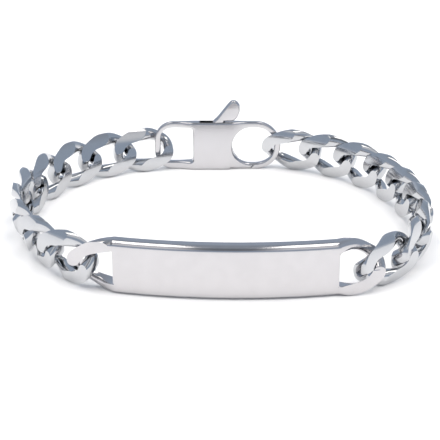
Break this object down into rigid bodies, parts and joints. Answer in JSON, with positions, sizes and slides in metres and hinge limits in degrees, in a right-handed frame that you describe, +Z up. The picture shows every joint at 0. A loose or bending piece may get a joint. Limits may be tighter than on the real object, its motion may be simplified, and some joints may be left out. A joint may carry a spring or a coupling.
{
  "type": "id bracelet",
  "caption": "Closed polished steel identity bracelet with a curved blank plate, a flat curb chain on each side and a lobster clasp with a turning lever.",
  "frame": {"origin": "middle of the bracelet's outline seen from above, at the height of the lower edge that it stands on", "axes": "+Z up, across the width of the band; +X along the plate, to the right seen from in front of the plate; -Y toward the plate and +Y toward the clasp"},
  "size_m": [0.078, 0.0638, 0.0152],
  "materials": {
    "plate_steel": "mirror polished stainless steel",
    "chain_steel": "mirror polished stainless steel, ground flat on both sides",
    "clasp_steel": "polished stainless steel"
  },
  "bodies": {
    "bracelet": {"id_plate": "plate_steel", "link_01": "chain_steel", "link_02": "chain_steel", "link_03": "chain_steel", "link_04": "chain_steel", "link_05": "chain_steel", "link_06": "chain_steel", "link_07": "chain_steel", "link_08": "chain_steel", "link_09": "chain_steel", "link_10": "chain_steel", "link_11": "chain_steel", "link_12": "chain_steel", "link_13": "chain_steel", "link_14": "chain_steel", "link_15": "chain_steel", "link_16": "chain_steel", "link_17": "chain_steel", "link_18": "chain_steel", "clasp_body": "clasp_steel"},
    "lever": {"clasp_lever": "clasp_steel"}
  },
  "joints": [
    {"name": "lever_hinge", "type": "hinge", "parent": "bracelet", "child": "lever", "pos_m": [-0.00089, 0.02948, 0.0036], "axis": [0.0313, -0.9995, 0], "range_deg": [0, 20], "stiffness_Nm_per_rad": 0.005, "springref_deg": -17.19}
  ]
}
